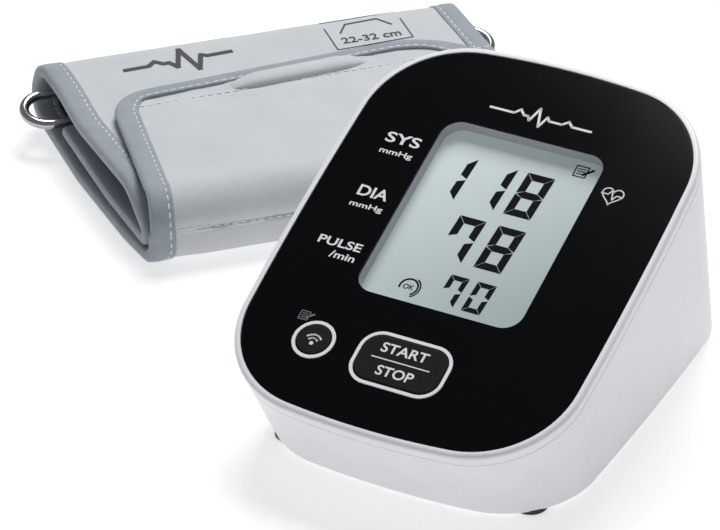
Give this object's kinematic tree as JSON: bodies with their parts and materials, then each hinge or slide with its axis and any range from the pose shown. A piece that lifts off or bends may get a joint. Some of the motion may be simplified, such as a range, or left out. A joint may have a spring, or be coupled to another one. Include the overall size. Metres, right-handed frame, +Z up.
{
  "type": "upper-arm blood pressure monitor with cuff",
  "caption": "Table-top upper-arm blood pressure monitor with a sloping black display panel and two push buttons, and its folded grey fabric cuff with a metal ring and closing flap.",
  "frame": {"origin": "on the table, under the middle of the box round the monitor and its folded cuff", "axes": "+Z up; +X to the monitor's right; -Y to the monitor's front, which the user faces"},
  "size_m": [0.2574, 0.254, 0.0842],
  "materials": {
    "white_housing": "satin white moulded shell",
    "black_panel": "glossy black sheet",
    "clear_window": "clear acrylic insert",
    "grey_plastic": "matt grey display frame",
    "display_glass": "pale green-grey liquid crystal cell",
    "white_inner_plastic": "natural moulded plastic",
    "pink_rubber": "conductive rubber strip",
    "button_plastic": "matt charcoal",
    "key_rubber": "grey silicone rubber",
    "circuit_board": "green solder mask",
    "chip_black": "black moulding compound",
    "steel": "plated steel",
    "magnet": "ferrite",
    "socket_plastic": "dark grey plastic",
    "silicone": "milky silicone tube",
    "cell_sleeve": "printed metal sleeve",
    "foot_rubber": "soft black rubber",
    "cuff_fabric": "fine woven light grey nylon",
    "lining_fabric": "dark slate grey brushed nylon",
    "bladder": "rubberised sheet",
    "binding_tape": "woven blue-grey edge tape",
    "hook_tape": "hook side of hook and loop tape",
    "chrome": "polished chrome wire"
  },
  "bodies": {
    "monitor": {"top_cover": "white_housing", "base_housing": "white_housing", "front_panel": "black_panel", "display_window": "clear_window", "display_frame": "grey_plastic", "display_glass": "display_glass", "display_holder": "white_inner_plastic", "contact_strip": "pink_rubber", "key_pad": "key_rubber", "main_board": "circuit_board", "board_chips": "chip_black", "pressure_sensor": "chip_black", "antenna_module": "circuit_board", "pump_motor_case": "steel", "pump_magnets": "magnet", "pump_head": "white_inner_plastic", "pump_diaphragm": "key_rubber", "valve_body": "white_inner_plastic", "air_manifold": "white_inner_plastic", "air_socket": "socket_plastic", "air_tubes": "silicone", "power_socket": "chip_black", "battery_tray": "white_inner_plastic", "battery_springs": "steel", "battery_contacts": "steel", "rubber_feet": "foot_rubber", "housing_screws": "steel", "battery_cell_1": "cell_sleeve", "battery_cell_2": "cell_sleeve", "battery_cell_3": "cell_sleeve", "battery_cell_4": "cell_sleeve"},
    "start_stop_button": {"start_stop_button": "button_plastic"},
    "link_button": {"link_button": "button_plastic"},
    "battery_cover": {"battery_cover": "white_housing"},
    "pump_rotor": {"pump_rotor": "steel"},
    "valve_plunger": {"valve_plunger": "steel"},
    "cuff": {"cuff_cover": "cuff_fabric", "cuff_lining": "lining_fabric", "air_bladder": "bladder", "cuff_binding": "binding_tape", "hose_gland": "socket_plastic", "flap_crease": "cuff_fabric", "ring_sleeve": "lining_fabric"},
    "cuff_flap": {"flap_cover": "cuff_fabric", "flap_lining": "lining_fabric", "hook_tape": "hook_tape", "flap_binding": "binding_tape", "grip_ridge": "cuff_fabric"},
    "cuff_ring": {"cuff_ring": "chrome"}
  },
  "joints": [
    {"name": "start_stop_press", "type": "slide", "parent": "monitor", "child": "start_stop_button", "axis": [0, 0.4163, -0.9092], "range_m": [0, 0.0008], "stiffness_N_per_m": 1500, "springref_m": -0.0004},
    {"name": "link_press", "type": "slide", "parent": "monitor", "child": "link_button", "axis": [0, 0.4163, -0.9092], "range_m": [0, 0.0006], "stiffness_N_per_m": 1500, "springref_m": -0.0004},
    {"name": "battery_cover_slide", "type": "slide", "parent": "monitor", "child": "battery_cover", "axis": [0, 1, 0], "range_m": [0, 0.025]},
    {"name": "pump_spin", "type": "hinge", "parent": "monitor", "child": "pump_rotor", "pos_m": [0.04086, -0.07105, 0.019], "axis": [1, 0, 0], "continuous": true},
    {"name": "valve_shift", "type": "slide", "parent": "monitor", "child": "valve_plunger", "axis": [0, 0, 1], "range_m": [0, 0.0006], "stiffness_N_per_m": 400, "springref_m": -0.0006},
    {"name": "cuff_move", "type": "slide", "parent": "monitor", "child": "cuff", "axis": [-0.7314, 0.682, 0], "range_m": [0, 0.12]},
    {"name": "flap_open", "type": "hinge", "parent": "cuff", "child": "cuff_flap", "pos_m": [-0.04749, -0.03769, 0.0212], "axis": [0.682, 0.7314, 0], "range_deg": [0, 110], "deforming": ["flap_crease"]},
    {"name": "ring_swing", "type": "hinge", "parent": "cuff", "child": "cuff_ring", "pos_m": [-0.06359, 0.05936, 0.01106], "axis": [0.682, 0.7314, 0], "range_deg": [0, 10]}
  ]
}
